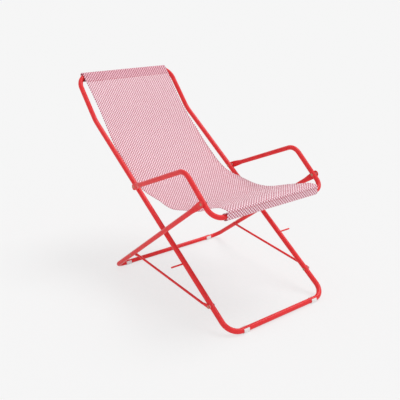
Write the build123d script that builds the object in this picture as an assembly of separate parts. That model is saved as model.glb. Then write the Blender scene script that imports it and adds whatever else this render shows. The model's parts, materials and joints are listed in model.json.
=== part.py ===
from build123d import *
import math
import os

# Folding reclining sling chair in bent steel tube.
# Millimetres, +Z up, the sitter faces -Y, +X is the sitter's left.
# Origin on the floor, under the middle of the chair's length and width.

# Back frame, a closed tube loop from the front floor bar up to the head bar
BACK_TUBE = 22.0
BACK_HALF_WIDTH = 260.0
BACK_LENGTH = 1171.0
HEAD_LENGTH = 245.0
HEAD_BEND_ANGLE = 15.0
FLOOR_CORNER_RADIUS = 60.0
HEADREST_RADIUS = 150.0
HEAD_CORNER_RADIUS = 65.0

# Arm frame, a U of tube: arm rests, front posts and the seat bar
ARM_TUBE = 20.0
ARM_SPLAY = 4.0
ARM_LENGTH = 426.0
ARM_LIFT_ANGLE = 15.4
ARM_POST_LENGTH = 224.0
ARM_CORNER_RADIUS = 60.0
SEAT_CORNER_RADIUS = 50.0

# Leg frame, a U of tube with the rear floor bar
LEG_TUBE = 20.0
LEG_SPLAY = 4.5
LEG_FOOT = 190.35
LEG_CORNER_RADIUS = 45.0

TUBE_WALL = 1.2

# Crossed linkage: equal long sides on the back frame and the legs, equal short sides on the arms and links
LONG_SIDE = 624.0
SHORT_SIDE = 511.5
ARM_PIVOT_HEIGHT = 760.6
ARM_ANGLE = 42.0
RECLINE_TRAVEL = 17.5

# Links, round rods with pressed flat ends
LINK_ROD = 10.0
LINK_FLAT_WIDTH = 16.0
LINK_FLAT_THICKNESS = 4.0
LINK_FLAT_LENGTH = 12.0
LINK_NECK_LENGTH = 22.0

# Pressed flat tube ends on the arms and legs
FLAT_WIDTH = 28.0
FLAT_THICKNESS = 3.0
FLAT_LENGTH = 26.0
NECK_LENGTH = 42.0
FLAT_EDGE_RADIUS = 1.2

# Stop pins on the back frame
PIN_DIAMETER = 7.0
PIN_REACH = 67.0
PIN_TIP_RADIUS = 2.5
STOP_GAP = 0.5

# Rivets and washers
RIVET_SHANK = 6.0
RIVET_HEAD = 12.0
RIVET_HEAD_HEIGHT = 2.4
WASHER_DIAMETER = 16.0
WASHER_THICKNESS = 1.7
RUNNING_CLEARANCE = 0.05
TUBE_GAP = 0.3

# Clip-on glides under the floor bars
GLIDE_WALL = 2.5
GLIDE_SOLE = 2.0
GLIDE_LENGTH = 26.0
GLIDE_OPENING = 90.0
GLIDE_FIT = 0.05
FRONT_GLIDE_SETBACK = 1.0
REAR_GLIDE_SETBACK = 8.0

# Sling, one length of mesh with a sewn pocket at each end
SLING_HALF_WIDTH = 236.5
SLING_THICKNESS = 1.0
SLING_HEAD_DROP_ANGLE = 24.1
SLING_BELLY_TILT = 15.4
SLING_SEAT_DROP_ANGLE = 39.2
SLING_BELLY_SHARE = 0.2635
SLING_KNEE_RADIUS = 265.0
SLING_BELLY_RADIUS = 400.0

# Pocket at the head, deep enough for the bent tube that leaves its ends
HEAD_POCKET_RADIUS = 13.5
HEAD_POCKET_DEPTH = 24.0
HEAD_HEM = 46.0

# Pocket at the seat, which stands up from its bar; the cloth folds back over it in a low crest
SEAT_POCKET_RADIUS = 14.0
SEAT_POCKET_DEPTH = 8.0
SEAT_POCKET_SAG = 3.0
SEAT_HEM = 21.0
SEAT_CREST_HEIGHT = 26.6
SEAT_CREST_LENGTH = 40.6
SEAT_CREST_RADIUS = 100.0
SEAT_FOLD_RADIUS = 8.0


def along(start, length, degrees):
    """The point at a length and an angle from start in the side plane; the angle turns up from the rear."""
    turn = math.radians(degrees)
    return Vector(start.X + length * math.cos(turn), start.Y + length * math.sin(turn))


def follower_angle(arm_angle):
    """Angle between arm and leg, and between back frame and link, that closes the crossed linkage."""
    sides = (LONG_SIDE - SHORT_SIDE) / (LONG_SIDE + SHORT_SIDE)
    return 2 * math.degrees(math.atan(sides / math.tan(math.radians(arm_angle) / 2)))


def crossing(arm_angle):
    """Distance below the arm pivot where the legs cross the back frame, seen from the side."""
    leg_angle = follower_angle(arm_angle)
    return SHORT_SIDE * math.sin(math.radians(leg_angle)) / math.sin(math.radians(arm_angle + leg_angle))


BACK_RADIUS = BACK_TUBE / 2
ARM_RADIUS = ARM_TUBE / 2
LEG_RADIUS = LEG_TUBE / 2
LEG_ANGLE = follower_angle(ARM_ANGLE)

# The linkage laid out along the back frame, then tipped until both floor bars stand on the floor
level_leg_pivot = along(Vector(ARM_PIVOT_HEIGHT, 0), SHORT_SIDE, 180 - ARM_ANGLE)
level_rear_bar = along(level_leg_pivot, LONG_SIDE + LEG_FOOT, -ARM_ANGLE - LEG_ANGLE)
BAR_DROP = math.asin((LEG_RADIUS - BACK_RADIUS) / level_rear_bar.length)
BACK_SLOPE = math.degrees(BAR_DROP - math.atan2(level_rear_bar.Y, level_rear_bar.X))

# Side view at rest, measured from the front floor bar, as (rearward, up)
BACK_DOWN = 180 + BACK_SLOPE
ARM_DIRECTION = BACK_DOWN - ARM_ANGLE
LEG_DIRECTION = ARM_DIRECTION + 180 - LEG_ANGLE

floor_bar = Vector(0, BACK_RADIUS + GLIDE_SOLE)
headrest = along(floor_bar, BACK_LENGTH, BACK_SLOPE)
head_bar = along(headrest, HEAD_LENGTH, BACK_SLOPE + HEAD_BEND_ANGLE)
arm_pivot = along(floor_bar, ARM_PIVOT_HEIGHT, BACK_SLOPE)
link_pivot = along(arm_pivot, LONG_SIDE, BACK_DOWN)
leg_pivot = along(arm_pivot, SHORT_SIDE, ARM_DIRECTION)
leg_link_pivot = along(leg_pivot, LONG_SIDE, LEG_DIRECTION)
rear_bar = along(leg_link_pivot, LEG_FOOT, LEG_DIRECTION)
arm_corner = along(arm_pivot, ARM_LENGTH, ARM_DIRECTION - ARM_LIFT_ANGLE)
arm_post = leg_pivot - arm_corner
seat_bar = arm_corner + arm_post.normalized() * ARM_POST_LENGTH

# The pins stop the legs at the upright limit and the links at the folded limit
UPRIGHT_ANGLE = ARM_ANGLE - RECLINE_TRAVEL
UPRIGHT_CROSS = math.sin(math.radians(UPRIGHT_ANGLE + follower_angle(UPRIGHT_ANGLE)))
PIN_BELOW_PIVOT = crossing(UPRIGHT_ANGLE) + ((PIN_DIAMETER + LEG_TUBE) / 2 + STOP_GAP) / UPRIGHT_CROSS
stop_pin = along(arm_pivot, PIN_BELOW_PIVOT, BACK_DOWN)
FOLDED_LINK_SINE = ((PIN_DIAMETER + LINK_ROD) / 2 + STOP_GAP) / (LONG_SIDE - PIN_BELOW_PIVOT)
FOLDED_LINK_ANGLE = math.degrees(math.asin(FOLDED_LINK_SINE))
FOLDED_ARM_ANGLE = follower_angle(FOLDED_LINK_ANGLE)

# Slopes of the sling's back, belly and seat, from the line between its bars
bar_line = head_bar - seat_bar
BAR_LINE_SLOPE = math.degrees(math.atan2(bar_line.Y, bar_line.X))
SLING_BACK_SLOPE = BAR_LINE_SLOPE + SLING_HEAD_DROP_ANGLE
SLING_BELLY_SLOPE = BAR_LINE_SLOPE - SLING_BELLY_TILT
SLING_SEAT_SLOPE = SLING_SEAT_DROP_ANGLE - BAR_LINE_SLOPE

# Pockets: each hangs on its bar, with the bar just clear of the cloth
HEAD_POCKET_SLACK = HEAD_POCKET_RADIUS - SLING_THICKNESS / 2 - TUBE_GAP - BACK_RADIUS
SEAT_POCKET_SLACK = SEAT_POCKET_RADIUS - SLING_THICKNESS / 2 - TUBE_GAP - ARM_RADIUS
head_pocket = along(head_bar, HEAD_POCKET_SLACK, 180 + SLING_BACK_SLOPE)
seat_pocket = seat_bar + Vector(SEAT_POCKET_SLACK, -SEAT_POCKET_SAG)

# Corners of the sling's side view, from the head bar down to the seat bar
head_touch = along(head_pocket, HEAD_POCKET_RADIUS, SLING_BACK_SLOPE + 90)
head_seam = along(head_touch, HEAD_HEM, 180 + SLING_BACK_SLOPE)
seat_touch = seat_pocket - Vector(SEAT_POCKET_RADIUS, 0)
seat_seam = seat_touch + Vector(0, SEAT_HEM)
seat_fold = Vector(seat_touch.X, seat_bar.Y + SEAT_CREST_HEIGHT)
seat_crest = seat_fold + Vector(SEAT_CREST_LENGTH, 0)
belly_run = along(Vector(0, 0), SLING_BELLY_SHARE * bar_line.length, 180 + SLING_BELLY_SLOPE)
back_gap = seat_crest - belly_run - head_touch
BACK_RISE = math.tan(math.radians(SLING_BACK_SLOPE))
SEAT_RISE = math.tan(math.radians(SLING_SEAT_SLOPE))
KNEE_REACH = (back_gap.Y + SEAT_RISE * back_gap.X) / (BACK_RISE + SEAT_RISE)
knee = head_touch + Vector(KNEE_REACH, BACK_RISE * KNEE_REACH)
belly = knee + belly_run

# Middle of the length, from the front glides to the back of the head pocket
FRONT_END = floor_bar.X - BACK_RADIUS - GLIDE_WALL
REAR_END = head_pocket.X + HEAD_POCKET_RADIUS + SLING_THICKNESS / 2
MIDDLE = (FRONT_END + REAR_END) / 2

# Layers from the inside out, as distances from the middle plane
BACK_OUTSIDE = BACK_HALF_WIDTH + BACK_RADIUS
BACK_INSIDE = BACK_HALF_WIDTH - BACK_RADIUS
FLAT_ON_BACK = BACK_OUTSIDE + TUBE_GAP + WASHER_THICKNESS
ARM_FLAT_X = FLAT_ON_BACK + FLAT_THICKNESS / 2
ARM_NECK_X = FLAT_ON_BACK + ARM_RADIUS
ARM_HALF_WIDTH = ARM_NECK_X + ARM_SPLAY
ARM_OUTSIDE = ARM_HALF_WIDTH + ARM_RADIUS
ARM_INSIDE = ARM_HALF_WIDTH - ARM_RADIUS
FLAT_ON_ARM = ARM_OUTSIDE + TUBE_GAP + WASHER_THICKNESS
LEG_FLAT_X = FLAT_ON_ARM + FLAT_THICKNESS / 2
LEG_HALF_WIDTH = LEG_FLAT_X + LEG_SPLAY
LEG_LINK_X = LEG_FLAT_X + LEG_SPLAY * LONG_SIDE / (LONG_SIDE + LEG_FOOT)
LEG_LINK_INSIDE = LEG_LINK_X - LEG_RADIUS - TUBE_GAP
LEG_LINK_OUTSIDE = LEG_LINK_X + LEG_RADIUS + TUBE_GAP
LINK_TOP_FACE = LEG_LINK_INSIDE - WASHER_THICKNESS - TUBE_GAP

# Glides sit on the straight floor bars, just inside the bends
FRONT_GLIDE_X = BACK_HALF_WIDTH - FLOOR_CORNER_RADIUS - FRONT_GLIDE_SETBACK - GLIDE_LENGTH / 2
REAR_GLIDE_X = LEG_HALF_WIDTH - LEG_CORNER_RADIUS - REAR_GLIDE_SETBACK - GLIDE_LENGTH / 2


def at(x, point):
    """A place in the chair from a distance off the middle plane and a side-view point."""
    return Vector(x, point.X - MIDDLE, point.Y)


def across(x_from, x_to, point, diameter):
    """A round bar parallel to X."""
    bar = Cylinder(diameter / 2, x_to - x_from, align=(Align.CENTER, Align.CENTER, Align.MIN))
    return Plane(at(x_from, point), x_dir=(0, 1, 0), z_dir=(1, 0, 0)) * bar


def bent_tube(points, radii, diameter):
    """Hollow tube along straight runs joined by bends."""
    path = FilletPolyline(*points, radius=radii)
    ring = Circle(diameter / 2) - Circle(diameter / 2 - TUBE_WALL)
    return sweep(Plane(path @ 0, z_dir=path % 0) * ring, path=path)


def pressed_end(pivot, neck, heading, width, thickness, length, diameter):
    """Flat eye round a pivot that swells into the round section that starts at the neck point."""
    run = Vector(0, heading.Y, heading.Z).normalized()
    eye = Circle(width / 2) + Pos(length / 2, 0) * Rectangle(length, width)
    plate = Plane(pivot - Vector(thickness / 2, 0, 0), x_dir=run, z_dir=(1, 0, 0)) * extrude(eye, thickness)
    rims = [edge for face in plate.faces().filter_by(Axis.X) for edge in face.edges()]
    shoulder = pivot + run * length
    rounded = [edge for edge in rims if abs((edge.center() - shoulder).dot(run)) > thickness / 2]
    plate = fillet(rounded, FLAT_EDGE_RADIUS)
    flat = Plane(shoulder, x_dir=(1, 0, 0), z_dir=run) * RectangleRounded(thickness, width, FLAT_EDGE_RADIUS)
    mouth = Plane(neck, x_dir=Vector(0, -run.Z, run.Y).cross(heading), z_dir=heading) * Circle(diameter / 2)
    return plate + loft([flat, mouth])


def both_sides(half):
    """One solid from the left half of a frame and its mirror image."""
    return half + mirror(half, about=Plane.YZ)


def pivot_hole(point):
    """Running hole for a rivet, through everything at that side-view point on the left side."""
    reach = LEG_HALF_WIDTH + LEG_TUBE
    return across(BACK_HALF_WIDTH - BACK_TUBE, reach, point, RIVET_SHANK + 2 * RUNNING_CLEARANCE)


def make_back_frame():
    points = [at(0, floor_bar)]
    points += [at(BACK_HALF_WIDTH, corner) for corner in (floor_bar, headrest, head_bar)]
    points += [at(0, head_bar)]
    half = bent_tube(points, [FLOOR_CORNER_RADIUS, HEADREST_RADIUS, HEAD_CORNER_RADIUS], BACK_TUBE)
    half -= pivot_hole(arm_pivot) + pivot_hole(link_pivot)
    half -= across(BACK_INSIDE, BACK_OUTSIDE, stop_pin, PIN_DIAMETER + 2 * RUNNING_CLEARANCE)
    return both_sides(half)


def make_arm_frame():
    """Arm tubes stand outward of their flats, so that they lie beside the back frame when the chair is folded."""
    eye = at(ARM_FLAT_X, arm_pivot)
    corner = at(ARM_HALF_WIDTH, arm_corner)
    neck = at(ARM_NECK_X, along(arm_pivot, FLAT_LENGTH + NECK_LENGTH, ARM_DIRECTION - ARM_LIFT_ANGLE))
    heading = (corner - neck).normalized()
    points = [neck, corner, at(ARM_HALF_WIDTH, seat_bar), at(0, seat_bar)]
    half = bent_tube(points, [ARM_CORNER_RADIUS, SEAT_CORNER_RADIUS], ARM_TUBE)
    half += pressed_end(eye, neck, heading, FLAT_WIDTH, FLAT_THICKNESS, FLAT_LENGTH, ARM_TUBE)
    half -= pivot_hole(arm_pivot) + pivot_hole(leg_pivot)
    return both_sides(half)


def make_leg_frame():
    eye = at(LEG_FLAT_X, leg_pivot)
    corner = at(LEG_HALF_WIDTH, rear_bar)
    heading = (corner - eye).normalized()
    neck = eye + heading * (FLAT_LENGTH + NECK_LENGTH)
    half = bent_tube([neck, corner, at(0, rear_bar)], LEG_CORNER_RADIUS, LEG_TUBE)
    half += pressed_end(eye, neck, heading, FLAT_WIDTH, FLAT_THICKNESS, FLAT_LENGTH, LEG_TUBE)
    half -= pivot_hole(leg_pivot) + pivot_hole(leg_link_pivot)
    return both_sides(half)


def make_link():
    """Left link. Its rod stands outward of the lower eye and inward of the upper one, flush with their faces."""
    flat_offset = LINK_FLAT_THICKNESS / 2
    low_eye = at(FLAT_ON_BACK + flat_offset, link_pivot)
    high_eye = at(LINK_TOP_FACE - flat_offset, leg_link_pivot)
    low_end = at(FLAT_ON_BACK + LINK_ROD / 2, link_pivot)
    high_end = at(LINK_TOP_FACE - LINK_ROD / 2, leg_link_pivot)
    run = (high_end - low_end).normalized()
    setback = LINK_FLAT_LENGTH + LINK_NECK_LENGTH
    low_neck = low_end + run * setback
    high_neck = high_end - run * setback
    rod = Plane(low_neck, z_dir=run) * extrude(Circle(LINK_ROD / 2), (high_neck - low_neck).length)
    link = rod + pressed_end(low_eye, low_neck, run, LINK_FLAT_WIDTH, LINK_FLAT_THICKNESS, LINK_FLAT_LENGTH, LINK_ROD)
    link += pressed_end(high_eye, high_neck, -run, LINK_FLAT_WIDTH, LINK_FLAT_THICKNESS, LINK_FLAT_LENGTH, LINK_ROD)
    return link - pivot_hole(link_pivot) - pivot_hole(leg_link_pivot)


def make_rivet(point, inner_face, outer_face, set_head=True):
    """Rivet on the left side: a shank between two faces, with a domed head outside and a set head inside."""
    shank = RIVET_SHANK / 2
    head = RIVET_HEAD / 2
    tip = outer_face + RIVET_HEAD_HEIGHT
    tail = inner_face - RIVET_HEAD_HEIGHT if set_head else inner_face
    shoulder = (inner_face, head if set_head else 0)
    outline = Polyline(shoulder, (inner_face, shank), (outer_face, shank), (outer_face, head)).edges()
    outline += [TangentArc((tip, 0), (outer_face, head), tangent=(0, 1)), Line((tail, 0), (tip, 0))]
    if set_head:
        outline += [TangentArc((tail, 0), shoulder, tangent=(0, 1))]
    return Pos(at(0, point)) * revolve(make_face(outline), axis=Axis.X)


def make_washer(point, inner_face):
    ring = across(inner_face, inner_face + WASHER_THICKNESS, point, WASHER_DIAMETER)
    return ring - pivot_hole(point)


def make_glide(x, bar, bar_radius):
    """C-shaped clip round a floor bar, open at the top, with a flat sole on the floor."""
    outer = bar_radius + GLIDE_WALL
    ring = Circle(outer) - Circle(bar_radius + GLIDE_FIT)
    ring &= Pos(0, outer - bar_radius - GLIDE_SOLE) * Rectangle(2 * outer, 2 * outer)
    half_mouth = math.radians(GLIDE_OPENING / 2)
    lip = Vector(2 * outer * math.sin(half_mouth), 2 * outer * math.cos(half_mouth))
    ring -= make_face(Polyline((0, 0), (lip.X, lip.Y), (-lip.X, lip.Y), close=True))
    return Plane(at(x - GLIDE_LENGTH / 2, bar), x_dir=(0, 1, 0), z_dir=(1, 0, 0)) * extrude(ring, GLIDE_LENGTH)


def make_pin():
    pin = across(BACK_INSIDE, BACK_HALF_WIDTH + PIN_REACH, stop_pin, PIN_DIAMETER)
    return fillet(pin.edges().sort_by(Axis.X)[-1], PIN_TIP_RADIUS)


def band(line):
    """Cloth seen edge on along a line in the side plane."""
    return make_face(offset(line, SLING_THICKNESS / 2).edges())


def pocket(centre, touch, seam, depth):
    """Hem that leaves the panel at a touch point, goes round the bar, lies straight for a depth and ends at the seam."""
    run = (seam - touch).normalized()
    back = centre * 2 - touch
    top = centre - run * (touch - centre).length
    round_bar = ThreePointArc(tuple(touch), tuple(top), tuple(back))
    return band(round_bar + Polyline(tuple(back), tuple(back + run * depth), tuple(seam)))


def make_sling():
    corners = [tuple(point) for point in (head_touch, knee, belly, seat_crest, seat_fold, seat_touch)]
    radii = [SLING_KNEE_RADIUS, SLING_BELLY_RADIUS, SEAT_CREST_RADIUS, SEAT_FOLD_RADIUS]
    profile = band(FilletPolyline(*corners, radius=radii))
    profile += pocket(head_pocket, head_touch, head_seam, HEAD_POCKET_DEPTH)
    profile += pocket(seat_pocket, seat_touch, seat_seam, SEAT_POCKET_DEPTH)
    side_plane = Plane((0, -MIDDLE, 0), x_dir=(0, 1, 0), z_dir=(1, 0, 0))
    return side_plane * extrude(profile, SLING_HALF_WIDTH, both=True)


def save(name, solid):
    export_step(solid, f"parts/{name}.step")


def save_pair(name, left):
    save(f"left_{name}", left)
    save(f"right_{name}", mirror(left, about=Plane.YZ))


os.makedirs("parts", exist_ok=True)

save("back_frame_tube", make_back_frame())
save("arm_frame_tube", make_arm_frame())
save("leg_frame_tube", make_leg_frame())
save("sling", make_sling())

save_pair("link", make_link())
save_pair("stop_pin", make_pin())
save_pair("front_glide", make_glide(FRONT_GLIDE_X, floor_bar, BACK_RADIUS))
save_pair("rear_glide", make_glide(REAR_GLIDE_X, rear_bar, LEG_RADIUS))

save_pair("arm_rivet", make_rivet(arm_pivot, BACK_INSIDE - TUBE_GAP, FLAT_ON_BACK + FLAT_THICKNESS))
save_pair("leg_rivet", make_rivet(leg_pivot, ARM_INSIDE - TUBE_GAP, FLAT_ON_ARM + FLAT_THICKNESS))
save_pair("link_rivet", make_rivet(link_pivot, BACK_INSIDE - TUBE_GAP, FLAT_ON_BACK + LINK_FLAT_THICKNESS))
save_pair(
    "leg_link_rivet",
    make_rivet(leg_link_pivot, LEG_LINK_INSIDE - WASHER_THICKNESS, LEG_LINK_OUTSIDE, set_head=False),
)
save_pair("arm_washer", make_washer(arm_pivot, BACK_OUTSIDE + TUBE_GAP))
save_pair("leg_washer", make_washer(leg_pivot, ARM_OUTSIDE + TUBE_GAP))
save_pair("link_washer", make_washer(link_pivot, BACK_OUTSIDE + TUBE_GAP))
save_pair("leg_link_washer", make_washer(leg_link_pivot, LEG_LINK_INSIDE - WASHER_THICKNESS))

print("fold travel", FOLDED_ARM_ANGLE - ARM_ANGLE)
print("fold leg ratio", (FOLDED_LINK_ANGLE - LEG_ANGLE) / (FOLDED_ARM_ANGLE - ARM_ANGLE))
for name, point in (("arm", arm_pivot), ("leg", leg_pivot), ("link", link_pivot), ("leg link", leg_link_pivot)):
    print(name, "pivot", at(0, point))
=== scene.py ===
import json
import math

import bpy
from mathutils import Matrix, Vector


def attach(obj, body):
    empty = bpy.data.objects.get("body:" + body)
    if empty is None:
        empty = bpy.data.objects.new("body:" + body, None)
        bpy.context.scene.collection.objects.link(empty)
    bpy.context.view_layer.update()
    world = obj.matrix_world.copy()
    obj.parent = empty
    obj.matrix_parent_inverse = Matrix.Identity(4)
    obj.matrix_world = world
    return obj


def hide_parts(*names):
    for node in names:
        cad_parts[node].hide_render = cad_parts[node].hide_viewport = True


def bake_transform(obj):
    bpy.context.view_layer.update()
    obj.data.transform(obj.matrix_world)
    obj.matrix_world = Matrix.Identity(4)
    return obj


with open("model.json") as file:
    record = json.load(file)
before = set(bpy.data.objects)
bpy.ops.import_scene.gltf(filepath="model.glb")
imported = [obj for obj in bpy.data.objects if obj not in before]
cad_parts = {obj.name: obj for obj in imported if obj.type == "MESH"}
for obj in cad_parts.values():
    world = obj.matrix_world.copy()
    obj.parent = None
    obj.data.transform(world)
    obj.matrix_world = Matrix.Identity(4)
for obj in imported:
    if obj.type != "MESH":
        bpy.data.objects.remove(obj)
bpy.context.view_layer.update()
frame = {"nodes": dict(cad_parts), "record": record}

# Looks of the folding sling chair. Metres, in the chair's own frame: +Z up, the sitter faces -Y.
scene = bpy.context.scene
scene.view_settings.view_transform = "Standard"

# Camera
CAMERA_PLACE = (-1.5177, -2.0268, 1.2600)
CAMERA_TILT = 69.84
CAMERA_TURN = -37.41
CAMERA_LENS = 53.67
SENSOR = 36.0

# Light, with the colour of the floor and of what lies beyond it
PALE = (0.916, 0.916, 0.916)
WORLD_LIGHT = 0.65
WORLD_SEEN = 1.0
KEY_LIGHT = 1.36
KEY_TOWARDS = (-0.45, 0.0, -0.89)
FILL_LIGHT = 0.46
FILL_TOWARDS = (0.55, 0.75, -0.25)
SUN_SPREAD = 30
FLOOR_GLOW = 0.75
FLOOR_ROUGHNESS = 0.9
FLOOR_REACH = 60

# Sling from the side, as (rearward, up): a pocket round each bar and the corners of the panel between them
HEAD_POCKET = Vector((0.569236, 0.839742))
HEAD_POCKET_RADIUS = 0.0135
SEAT_POCKET = Vector((-0.493105, 0.458890))
SEAT_POCKET_RADIUS = 0.0140
HEAD_SLOPE = 46.69
BACK = Vector((0.294080, 0.567500))
KNEE = Vector((0.083650, 0.411800))
BELLY = Vector((-0.194834, 0.391539))
CREST = Vector((-0.466505, 0.488490))
FOLD = Vector((-0.507105, 0.488490))
CORNER_RADII = (1.2, 0.265, 0.400, 0.100, 0.008)
SLING_HALF_WIDTH = 0.2365
CLOTH = 0.001

# Hems, from where the panel meets the pocket to the cut edge, with the depth of the pocket
HEAD_HEM = 0.046
HEAD_DEPTH = 0.024
SEAT_HEM = 0.021
SEAT_DEPTH = 0.010
HEM_ALLOWANCE = 0.0045
HEM_RADII = (0.004, 0.008)
LAYER_GAP = 0.0012

# Steps of the sling's mesh
PANEL_STEP = 0.008
HEM_STEP = 0.002
STEPS_PER_RADIUS = 4
COLUMNS = 60

# Puckers along the sewn seams
PUCKER_HEIGHT = 0.0006
PUCKER_LENGTH = 0.034
PUCKER_REACH = 0.022

# The cloth draws in at and below the head hem, there by depths for the sitter's right and left
HEAD_DRAW = 0.0030
NECK_DEPTHS = (0.0055, 0.0095)
NECK_LENGTH = 0.34

# The front of the seat sits to the sitter's left on its bar
SEAT_SHIFT = 0.0045
SHIFT_REAR = -0.20
SHIFT_LENGTH = 0.25

# Edges of the seat: slack on the sitter's right, where it hangs in two waves, and tight on the left
EDGE_REACH = 0.13
WAVE_DEPTHS = (0.0055, 0.009)
WAVE_LENGTH = 0.19
WAVE_REAR = -0.055
LIFT = 0.004
LIFT_REAR = 0.22
LIFT_FRONT = -0.46
LIFT_FADE = 0.12

# Stitching; the profile, rise and sink are shares of a stitch's length and of the thread's thickness
STITCH_LENGTH = 0.0042
STITCH_PITCH = 0.0054
STITCH_PROFILE = ((-0.5, 0.25), (-0.32, 0.9), (0.0, 1.0), (0.32, 0.9), (0.5, 0.25))
STITCH_RISE = 0.3
STITCH_SINK = 0.05
THREAD = 0.0007
THREAD_SIDES = 6
SEAM_ROWS = (-0.0012, 0.0012)

# Materials: colours run from dark to pale between two stops of a noise, whose grain is in cycles per metre
NOISE_DETAIL = 3.0
FINE_DETAIL = 2.0

# Red powder coat
PAINT_COLOURS = ((0.75, 0.031, 0.033), (0.82, 0.038, 0.040))
PAINT_STOPS = (0.3, 0.7)
PAINT_MOTTLE = 35
PAINT_WEAR = 120
PAINT_ROUGHNESS = (0.24, 0.34)
PAINT_PEEL = 900
PAINT_PEEL_STRENGTH = 0.12
PAINT_PEEL_HEIGHT = 0.0002
PAINT_SPECULAR = 0.24
PAINT_SPECULAR_TINT = (1.0, 0.80, 0.90, 1)

# Plated steel of the rivets
STEEL_COLOURS = ((0.46, 0.20, 0.13), (0.60, 0.32, 0.22))
STEEL_STOPS = (0.35, 0.7)
STEEL_MOTTLE = 260
STEEL_METALLIC = 0.8
STEEL_GRAIN = 1500
STEEL_ROUGHNESS = (0.4, 0.6)
STEEL_GRAIN_STRENGTH = 0.15
STEEL_GRAIN_HEIGHT = 0.0001

# Plastic of the glides and nylon of the washers
GLIDE_COLOURS = ((0.80, 0.79, 0.78), (0.88, 0.88, 0.87))
GLIDE_ROUGHNESS = (0.35, 0.5)
WASHER_COLOURS = ((0.56, 0.51, 0.44), (0.68, 0.64, 0.57))
WASHER_ROUGHNESS = (0.4, 0.55)
PLASTIC_STOPS = (0.3, 0.7)
PLASTIC_MOTTLE = 60
PLASTIC_WEAR = 300
PLASTIC_GRAIN = 2200
PLASTIC_GRAIN_STRENGTH = 0.1
PLASTIC_GRAIN_HEIGHT = 0.0001

# Sewing thread
THREAD_COLOURS = ((0.50, 0.06, 0.09), (0.68, 0.12, 0.15))
THREAD_STOPS = (0.35, 0.65)
THREAD_TWIST = 1800
THREAD_ROUGHNESS = 0.7

# Weave: blocks of red warp and white weft, four yarns to a block, each yarn darker at its sides than on top,
# which is painted shade between the yarns
CELL_ACROSS = 0.0064
CELL_ALONG = 0.00655
YARNS_PER_CELL = 4
# The first colour of each yarn is painted shade at its sides, the second is its colour on top
RED_YARN_AND_SHADE = ((0.43, 0.08, 0.13, 1), (0.58, 0.15, 0.22, 1))
WHITE_YARN_AND_SHADE = ((1.0, 0.69, 0.75, 1), (1.0, 0.85, 0.90, 1))
YARN_STRENGTH = 0.5
YARN_HEIGHT = 0.0004
WEAVE_ROUGHNESS = 0.55
WEAVE_SHEEN = 0.1

# Tints of the doubled cloth in the hems, partly its own denser colour and partly painted shade from the bar
# inside and the light the two layers hold back, and how much of them the head hem and the seat hem take
RED_HEM_TINT_AND_SHADE = (0.66, 0.24, 0.32, 1)
WHITE_HEM_TINT_AND_SHADE = (0.98, 0.75, 0.82, 1)
HEAD_SHADE = 1.0
HEAD_FADE = 0.15
SEAT_SHADE = 0.12


def node(tree, kind, **settings):
    """A shader node with some of its settings."""
    made = tree.nodes.new(kind)
    for name, value in settings.items():
        setattr(made, name, value)
    return made


def link(tree, start, output, end, socket):
    """Joins an output of one node to a socket of another."""
    tree.links.new(start.outputs[output], end.inputs[socket])


def math_node(tree, operation, *values):
    """A Math node whose inputs are numbers or (node, output) pairs, as such a pair itself."""
    made = node(tree, "ShaderNodeMath", operation=operation)
    for place, value in enumerate(values):
        if isinstance(value, tuple):
            link(tree, *value, made, place)
        else:
            made.inputs[place].default_value = value
    return made, 0


def seen_directly(tree):
    """One for rays from the camera and for those that a mirror or glass sends on."""
    rays = node(tree, "ShaderNodeLightPath")
    straight_on = math_node(tree, "MAXIMUM", (rays, "Is Camera Ray"), (rays, "Is Glossy Ray"))
    return math_node(tree, "MAXIMUM", straight_on, (rays, "Is Transmission Ray"))


def new_material(name):
    """A material with just a Principled shader, its tree and the shader."""
    material = bpy.data.materials.new(name)
    material.use_nodes = True
    tree = material.node_tree
    return material, tree, tree.nodes["Principled BSDF"]


def noise(tree, grain, detail=NOISE_DETAIL):
    """Noise in the object's own coordinates."""
    place = node(tree, "ShaderNodeTexCoord")
    made = node(tree, "ShaderNodeTexNoise")
    made.inputs["Scale"].default_value = grain
    made.inputs["Detail"].default_value = detail
    link(tree, place, "Object", made, "Vector")
    return made


def mottled_material(name, colours, stops, grain):
    """A material whose colour runs from dark to pale over a noise, its tree and its shader."""
    material, tree, shader = new_material(name)
    ramp = node(tree, "ShaderNodeValToRGB")
    for element, position, colour in zip(ramp.color_ramp.elements, stops, colours):
        element.position = position
        element.color = (*colour, 1)
    link(tree, noise(tree, grain), "Fac", ramp, "Fac")
    link(tree, ramp, "Color", shader, "Base Color")
    return material, tree, shader


def roughness_from(tree, shader, source, roughness):
    """Roughness that runs from its lowest to its highest value over a noise."""
    spread = node(tree, "ShaderNodeMapRange")
    spread.inputs["To Min"].default_value = roughness[0]
    spread.inputs["To Max"].default_value = roughness[1]
    link(tree, source, "Fac", spread, "Value")
    link(tree, spread, "Result", shader, "Roughness")


def bump_from(tree, shader, source, output, strength, height):
    """Fine relief from a node's output."""
    bump = node(tree, "ShaderNodeBump")
    bump.inputs["Strength"].default_value = strength
    bump.inputs["Distance"].default_value = height
    link(tree, source, output, bump, "Height")
    link(tree, bump, "Normal", shader, "Normal")


def powder_coat():
    """Glossy red powder coat: faint mottling and orange peel."""
    material, tree, shader = mottled_material("red_powder_coat", PAINT_COLOURS, PAINT_STOPS, PAINT_MOTTLE)
    peel = noise(tree, PAINT_PEEL, FINE_DETAIL)
    roughness_from(tree, shader, noise(tree, PAINT_WEAR), PAINT_ROUGHNESS)
    bump_from(tree, shader, peel, "Fac", PAINT_PEEL_STRENGTH, PAINT_PEEL_HEIGHT)
    shader.inputs["Specular IOR Level"].default_value = PAINT_SPECULAR
    shader.inputs["Specular Tint"].default_value = PAINT_SPECULAR_TINT
    return material


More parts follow.
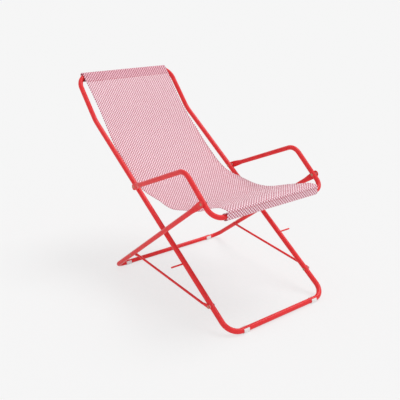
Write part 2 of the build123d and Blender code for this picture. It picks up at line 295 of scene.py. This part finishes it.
def rivet_steel():
    """Plated steel with a fine grain; its reddish tan colour varies over a noise."""
    material, tree, shader = mottled_material("rivet_steel", STEEL_COLOURS, STEEL_STOPS, STEEL_MOTTLE)
    grain = noise(tree, STEEL_GRAIN)
    roughness_from(tree, shader, grain, STEEL_ROUGHNESS)
    bump_from(tree, shader, grain, "Fac", STEEL_GRAIN_STRENGTH, STEEL_GRAIN_HEIGHT)
    shader.inputs["Metallic"].default_value = STEEL_METALLIC
    return material


def moulded_plastic(name, colours, roughness):
    """Moulded plastic with a fine texture."""
    material, tree, shader = mottled_material(name, colours, PLASTIC_STOPS, PLASTIC_MOTTLE)
    grain = noise(tree, PLASTIC_GRAIN, FINE_DETAIL)
    roughness_from(tree, shader, noise(tree, PLASTIC_WEAR), roughness)
    bump_from(tree, shader, grain, "Fac", PLASTIC_GRAIN_STRENGTH, PLASTIC_GRAIN_HEIGHT)
    return material


def sewing_thread():
    """Twisted sewing thread."""
    material, _, shader = mottled_material("sewing_thread", THREAD_COLOURS, THREAD_STOPS, THREAD_TWIST)
    shader.inputs["Roughness"].default_value = THREAD_ROUGHNESS
    return material


def yarn_top(tree, cells):
    """A value that rises from 0 at the sides of each yarn to 1 on its top, for a place counted in cells."""
    half_yarns = math_node(tree, "MULTIPLY", cells, 2.0 * YARNS_PER_CELL)
    return math_node(tree, "PINGPONG", half_yarns, 1.0)


def yarn_colour(tree, top, colours, hem, hem_tint_and_shade):
    """Colour of one kind of yarn, from painted shade at its sides to its top, with a tint in the hems that
    is partly painted shade.
    """
    # Painted shade at the yarn's sides, lightening to its own colour on top
    shaded_sides_to_top = node(tree, "ShaderNodeMix", data_type="RGBA")
    shaded_sides_to_top.inputs["A"].default_value = colours[0]
    shaded_sides_to_top.inputs["B"].default_value = colours[1]
    link(tree, top, "Result", shaded_sides_to_top, "Factor")
    # Tint of the doubled hems: partly the cloth's denser colour, partly painted shade
    tinted_and_shaded = node(tree, "ShaderNodeMix", data_type="RGBA", blend_type="MULTIPLY")
    tinted_and_shaded.inputs["B"].default_value = hem_tint_and_shade
    link(tree, hem, "Fac", tinted_and_shaded, "Factor")
    link(tree, shaded_sides_to_top, "Result", tinted_and_shaded, "A")
    return tinted_and_shaded


def sling_mesh():
    """Basket weave of red and white polymer yarns, with painted shade at the yarns' sides; the doubled hems
    are denser and redder, and darker with painted shade.
    """
    material, tree, shader = new_material("sling_mesh")
    cloth = node(tree, "ShaderNodeUVMap", uv_map="cloth")
    # How much hem tint, partly painted shade, each place of the cloth takes
    hem = node(tree, "ShaderNodeAttribute", attribute_name="hem")
    flat = node(tree, "ShaderNodeSeparateXYZ")
    link(tree, cloth, "UV", flat, "Vector")
    across = math_node(tree, "DIVIDE", (flat, "X"), CELL_ACROSS)
    along = math_node(tree, "DIVIDE", (flat, "Y"), CELL_ALONG)
    cells = math_node(tree, "ADD", math_node(tree, "FLOOR", across), math_node(tree, "FLOOR", along))
    weft_up = math_node(tree, "FLOORED_MODULO", cells, 2.0)
    top = node(tree, "ShaderNodeMix")
    link(tree, *weft_up, top, "Factor")
    link(tree, *yarn_top(tree, across), top, "A")
    link(tree, *yarn_top(tree, along), top, "B")
    weave = node(tree, "ShaderNodeMix", data_type="RGBA")
    link(tree, *weft_up, weave, "Factor")
    link(tree, yarn_colour(tree, top, RED_YARN_AND_SHADE, hem, RED_HEM_TINT_AND_SHADE), "Result", weave, "A")
    link(tree, yarn_colour(tree, top, WHITE_YARN_AND_SHADE, hem, WHITE_HEM_TINT_AND_SHADE), "Result", weave, "B")
    link(tree, weave, "Result", shader, "Base Color")
    shader.inputs["Roughness"].default_value = WEAVE_ROUGHNESS
    shader.inputs["Sheen Weight"].default_value = WEAVE_SHEEN
    bump_from(tree, shader, top, "Result", YARN_STRENGTH, YARN_HEIGHT)
    return material


def pale_floor():
    """Matt floor, lifted towards its own colour where it is seen, so that it shows shadows faintly."""
    material, tree, shader = new_material("pale_floor")
    shader.inputs["Base Color"].default_value = (*PALE, 1)
    shader.inputs["Roughness"].default_value = FLOOR_ROUGHNESS
    shader.inputs["Specular IOR Level"].default_value = 0.0
    glow = node(tree, "ShaderNodeEmission")
    glow.inputs["Color"].default_value = (*PALE, 1)
    lifted = node(tree, "ShaderNodeMixShader")
    link(tree, *math_node(tree, "MULTIPLY", seen_directly(tree), FLOOR_GLOW), lifted, 0)
    link(tree, shader, "BSDF", lifted, 1)
    link(tree, glow, "Emission", lifted, 2)
    link(tree, lifted, "Shader", tree.nodes["Material Output"], "Surface")
    return material


def heading(degrees):
    """A unit step in the side plane; the angle turns up from the rear."""
    return Vector((math.cos(math.radians(degrees)), math.sin(math.radians(degrees))))


def straight(start, end, step):
    """Points from start up to but not including end."""
    count = max(1, round((end - start).length / step))
    return [start.lerp(end, place / count) for place in range(count)]


def arc(centre, start, degrees, step):
    """Points on a circle from start, turning by an angle, up to but not including its end."""
    radius = (start - centre).length
    first = math.degrees(math.atan2(start.y - centre.y, start.x - centre.x))
    count = max(1, round(radius * abs(math.radians(degrees)) / step))
    return [centre + radius * heading(first + degrees * place / count) for place in range(count)]


def rounded(points, radii, step):
    """Points along straight runs joined by arcs, up to but not including the last one."""
    made = []
    start = points[0]
    for before, corner, after, radius in zip(points, points[1:], points[2:], radii):
        arrive = (corner - before).normalized()
        leave = (after - corner).normalized()
        turn = math.atan2(arrive.cross(leave), arrive.dot(leave))
        reach = radius * math.tan(abs(turn) / 2)
        arc_start = corner - arrive * reach
        centre = arc_start + Vector((-arrive.y, arrive.x)) * math.copysign(radius, turn)
        made += straight(start, arc_start, step)
        made += arc(centre, arc_start, math.degrees(turn), min(step, radius / STEPS_PER_RADIUS))
        start = corner + leave * reach
    return made + straight(start, points[-1], step)


def hem_path(centre, touch, run, hem, depth):
    """Hem from its cut edge, along the back of the pocket and round the bar to where the panel leaves it."""
    behind = (centre - touch).normalized() * LAYER_GAP
    cut = touch + run * hem + behind
    sewn = cut - run * HEM_ALLOWANCE
    back = centre * 2 - touch
    turn = math.copysign(180, run.cross(back - centre))
    pocket_back = rounded([cut, sewn, back + run * depth, back], HEM_RADII, HEM_STEP)
    return pocket_back + arc(centre, back, turn, HEM_STEP)


def sling_path():
    """The cloth from one cut edge to the other, with the places where the panel leaves its pockets."""
    head_touch = HEAD_POCKET + HEAD_POCKET_RADIUS * heading(HEAD_SLOPE + 90)
    seat_touch = SEAT_POCKET - Vector((SEAT_POCKET_RADIUS, 0))
    head = hem_path(HEAD_POCKET, head_touch, heading(180 + HEAD_SLOPE), HEAD_HEM, HEAD_DEPTH)
    seat = hem_path(SEAT_POCKET, seat_touch, heading(90), SEAT_HEM, SEAT_DEPTH)
    panel = rounded([head_touch, BACK, KNEE, BELLY, CREST, FOLD, seat_touch], CORNER_RADII, PANEL_STEP)
    return head + panel + [seat_touch] + seat[::-1], len(head), len(head) + len(panel)


path, head_at, seat_at = sling_path()
lengths = [0.0]
for before, after in zip(path, path[1:]):
    lengths.append(lengths[-1] + (after - before).length)
SLING_LENGTH = lengths[-1]
HEAD_SEAMS = (HEM_ALLOWANCE / 2, lengths[head_at] + HEAD_HEM - HEM_ALLOWANCE / 2)
SEAT_SEAMS = (lengths[seat_at] - SEAT_HEM + HEM_ALLOWANCE / 2, SLING_LENGTH - HEM_ALLOWANCE / 2)


def step_at(row):
    """Unit step along the cloth at one of the points of its path."""
    return (path[min(row + 1, len(path) - 1)] - path[max(row - 1, 0)]).normalized()


def outward(step):
    """Unit normal of the cloth's outer face, for a step along it."""
    return Vector((step.y, -step.x))


def soft_step(share):
    """Rises smoothly from 0 to 1."""
    share = min(1.0, max(0.0, share))
    return share * share * (3 - 2 * share)


def pucker(x, along):
    """How far the cloth is drawn up by the stitching near a seam."""
    near = min(abs(along - seam) for seam in (*HEAD_SEAMS, *SEAT_SEAMS))
    return PUCKER_HEIGHT * math.cos(2 * math.pi * x / PUCKER_LENGTH) * math.exp(-(near / PUCKER_REACH) ** 2)


def edge_drop(x, rearward):
    """How far an edge of the seat hangs below the middle of the cloth; below zero where it is tight."""
    nearness = max(0.0, 1 - (SLING_HALF_WIDTH - abs(x)) / EDGE_REACH) ** 2
    if x > 0:
        inside = min(LIFT_REAR - rearward, rearward - LIFT_FRONT)
        return -LIFT * nearness * soft_step(inside / LIFT_FADE)
    share = (WAVE_REAR - rearward) / WAVE_LENGTH
    if not 0 <= share < len(WAVE_DEPTHS):
        return 0.0
    return WAVE_DEPTHS[int(share)] * nearness * math.sin(math.pi * share) ** 2


def seat_shift(rearward):
    """How far the front of the seat sits to the sitter's left."""
    return SEAT_SHIFT * soft_step((SHIFT_REAR - rearward) / SHIFT_LENGTH)


def drawn_in(x, along):
    """How far the edge on the same side as x is drawn in at and below the head hem."""
    share = (along - HEAD_SEAMS[1]) / NECK_LENGTH
    waist = math.sin(math.pi * share) if 0 < share < 1 else 0.0
    return HEAD_DRAW * (1 - soft_step(share)) + NECK_DEPTHS[x > 0] * waist


def place_across(x, along, rearward):
    """Where a place across the flat cloth comes to lie."""
    return x * (1 - drawn_in(x, along) / SLING_HALF_WIDTH) + seat_shift(rearward)


def hem_tint_and_painted_shade(along):
    """How much of the hem tint, partly painted shade, the cloth takes at a place along the sling; it fades
    towards the head seam.
    """
    if along < HEAD_SEAMS[1]:
        share = max(0.0, along - lengths[head_at]) / HEAD_HEM
        return HEAD_SHADE * (1 - HEAD_FADE * share ** 2)
    return SEAT_SHADE if along > SEAT_SEAMS[0] else 0.0


def add_piece(name, vertices, faces, material):
    """A smooth mesh object of one material in the scene."""
    mesh = bpy.data.meshes.new(name)
    mesh.from_pydata(vertices, [], faces)
    mesh.polygons.foreach_set("use_smooth", [True] * len(mesh.polygons))
    mesh.materials.append(material)
    piece = bpy.data.objects.new(name, mesh)
    scene.collection.objects.link(piece)
    return piece


def sling_vertices(across):
    """The outer face of the cloth row by row along its path, and then the inner face."""
    vertices = []
    for side in (CLOTH / 2, -CLOTH / 2):
        for row, (point, along) in enumerate(zip(path, lengths)):
            face = point + outward(step_at(row)) * side
            for x in across:
                up = face.y + pucker(x, along) - edge_drop(x, point.x)
                vertices.append((place_across(x, along, point.x), face.x, up))
    return vertices


def sling_faces(rows, width):
    """Faces of both sides of the cloth, and of the rim that joins them at the cut edges."""
    layer = rows * width
    faces = []
    for row in range(rows - 1):
        for column in range(width - 1):
            corner = row * width + column
            faces.append((corner, corner + width, corner + width + 1, corner + 1))
            faces.append(tuple(layer + v for v in (corner, corner + 1, corner + width + 1, corner + width)))
    rim = list(range(width))
    rim += [row * width + width - 1 for row in range(1, rows)]
    rim += [(rows - 1) * width + column for column in range(width - 2, -1, -1)]
    rim += [row * width for row in range(rows - 2, 0, -1)]
    for first, second in zip(rim, rim[1:] + rim[:1]):
        faces.append((first, second, layer + second, layer + first))
    return faces


def make_sling(material):
    """The sling as one sheet, with its flat places for the weave and the tint of its hems, which is partly
    painted shade.
    """
    across = [SLING_HALF_WIDTH * (2 * column / COLUMNS - 1) for column in range(COLUMNS + 1)]
    width = len(across)
    layer = len(path) * width
    made = add_piece("sling_cloth", sling_vertices(across), sling_faces(len(path), width), material)
    cloth = made.data.uv_layers.new(name="cloth")
    for loop in made.data.loops:
        row, column = divmod(loop.vertex_index % layer, width)
        cloth.data[loop.index].uv = (across[column], lengths[row])
    # The hem attribute holds the share of the hem tint, partly painted shade, at each place
    hem = made.data.attributes.new("hem", "FLOAT", "POINT")
    for index, shade in enumerate(hem.data):
        shade.value = hem_tint_and_painted_shade(lengths[(index % layer) // width])
    return made


def tube_faces(base, rings):
    """Faces of a closed tube of rings of vertices, from the place of its first vertex."""
    last = base + (rings - 1) * THREAD_SIDES
    faces = [tuple(range(base, base + THREAD_SIDES))]
    for low in range(base, last, THREAD_SIDES):
        high = low + THREAD_SIDES
        for corner in range(THREAD_SIDES):
            after = (corner + 1) % THREAD_SIDES
            faces.append((low + corner, high + corner, high + after, low + after))
    faces.append(tuple(range(last + THREAD_SIDES - 1, last - 1, -1)))
    return faces


def stitch_row(vertices, faces, along):
    """Adds one row of stitches across the outer face of the cloth."""
    row = min(range(len(lengths)), key=lambda place: abs(lengths[place] - along))
    step = step_at(row)
    out = outward(step)
    place = path[row] + step * (along - lengths[row])
    count = int((2 * SLING_HALF_WIDTH - STITCH_PITCH) / STITCH_PITCH)
    first = -STITCH_PITCH * (count - 1) / 2
    for stitch in range(count):
        middle = first + stitch * STITCH_PITCH
        faces += tube_faces(len(vertices), len(STITCH_PROFILE))
        for share, thickness in STITCH_PROFILE:
            x = middle + share * STITCH_LENGTH
            rise = CLOTH / 2 + THREAD * (STITCH_RISE * thickness - STITCH_SINK)
            centre = place + out * rise + Vector((0, pucker(x, along)))
            for corner in range(THREAD_SIDES):
                turn = 2 * math.pi * corner / THREAD_SIDES
                spoke = (step * math.cos(turn) + out * math.sin(turn)) * (THREAD / 2 * thickness)
                vertices.append((place_across(x, along, place.x), centre.x + spoke.x, centre.y + spoke.y))


def make_stitching(name, seams, material):
    """Two rows of stitches through both layers of a hem, seen on the face and on the back of the hem."""
    vertices = []
    faces = []
    for offset in SEAM_ROWS:
        for seam in seams:
            stitch_row(vertices, faces, seam + offset)
    return add_piece(name, vertices, faces, material)


def make_sun(name, towards, strength):
    """A wide soft sun that shines along a direction."""
    data = bpy.data.lights.new(name, "SUN")
    data.energy = strength
    data.angle = math.radians(SUN_SPREAD)
    lamp = bpy.data.objects.new(name, data)
    lamp.rotation_euler = Vector(towards).to_track_quat("-Z", "Y").to_euler()
    scene.collection.objects.link(lamp)
    return lamp


# Materials of the solids
materials = {
    "red_powder_coat": powder_coat(),
    "rivet_steel": rivet_steel(),
    "white_plastic": moulded_plastic("white_plastic", GLIDE_COLOURS, GLIDE_ROUGHNESS),
    "washer_nylon": moulded_plastic("washer_nylon", WASHER_COLOURS, WASHER_ROUGHNESS),
    "sling_mesh": sling_mesh(),
}
for subpart in frame["record"]["subparts"]:
    mesh = frame["nodes"][subpart["node"]].data
    mesh.materials.clear()
    mesh.materials.append(materials[subpart["material_slot"]])

# Sling, with the stitching of its hems
sling = make_sling(materials["sling_mesh"])
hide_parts("sling")
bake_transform(sling)

thread = sewing_thread()
head_stitching = make_stitching("head_stitching", HEAD_SEAMS, thread)
seat_stitching = make_stitching("seat_stitching", SEAT_SEAMS, thread)
for stitching, body in ((head_stitching, "back_frame"), (seat_stitching, "arm_frame")):
    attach(stitching, body)

# Pale floor that runs out of the picture
floor_corners = [(FLOOR_REACH * x, FLOOR_REACH * y, 0) for x, y in ((-1, -1), (1, -1), (1, 1), (-1, 1))]
floor = add_piece("floor", floor_corners, [(0, 1, 2, 3)], pale_floor())

# Soft studio light: an even world, seen as pale as the floor, and wide suns from above and from the front
world = bpy.data.worlds.new("studio")
scene.world = world
world.use_nodes = True
background = world.node_tree.nodes["Background"]
background.inputs["Color"].default_value = (*PALE, 1)
strength = node(world.node_tree, "ShaderNodeMix")
strength.inputs["A"].default_value = WORLD_LIGHT
strength.inputs["B"].default_value = WORLD_SEEN
link(world.node_tree, *seen_directly(world.node_tree), strength, "Factor")
link(world.node_tree, strength, "Result", background, "Strength")
make_sun("key", KEY_TOWARDS, KEY_LIGHT)
make_sun("fill", FILL_TOWARDS, FILL_LIGHT).visible_glossy = False

# Camera of the photograph
camera_data = bpy.data.cameras.new("camera")
camera_data.lens = CAMERA_LENS
camera_data.sensor_width = SENSOR
camera = bpy.data.objects.new("camera", camera_data)
camera.location = CAMERA_PLACE
camera.rotation_euler = (math.radians(CAMERA_TILT), 0, math.radians(CAMERA_TURN))
scene.collection.objects.link(camera)
scene.camera = camera
